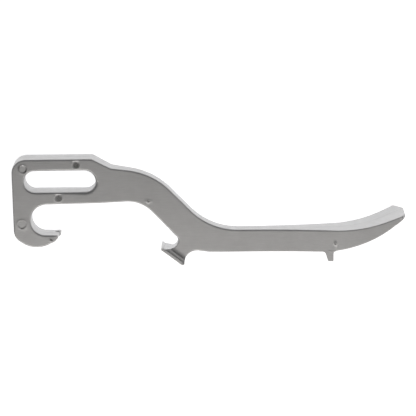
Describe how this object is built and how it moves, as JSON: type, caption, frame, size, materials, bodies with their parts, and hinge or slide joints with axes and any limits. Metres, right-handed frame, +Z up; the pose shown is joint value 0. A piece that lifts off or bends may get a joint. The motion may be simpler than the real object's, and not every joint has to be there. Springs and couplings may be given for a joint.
{
  "type": "fire hydrant wrench",
  "caption": "Flat one-piece cast spanner: slotted head, lug hook, small hook with a wide foot, pin tooth, straight handle and flared chisel-edged pry end.",
  "frame": {"origin": "centre of the bounding box in X and Y, on the surface that the tool lies on", "axes": "+X from the slotted head to the pry end, +Y up the broad face from the hooks towards the slot, +Z up from the surface that the tool lies on"},
  "size_m": [0.2804, 0.0806, 0.0329],
  "materials": {
    "cast_aluminium": "satin, as cast and tumbled, slightly warm grey"
  },
  "bodies": {
    "root": {"spanner_casting": "cast_aluminium"}
  },
  "joints": []
}
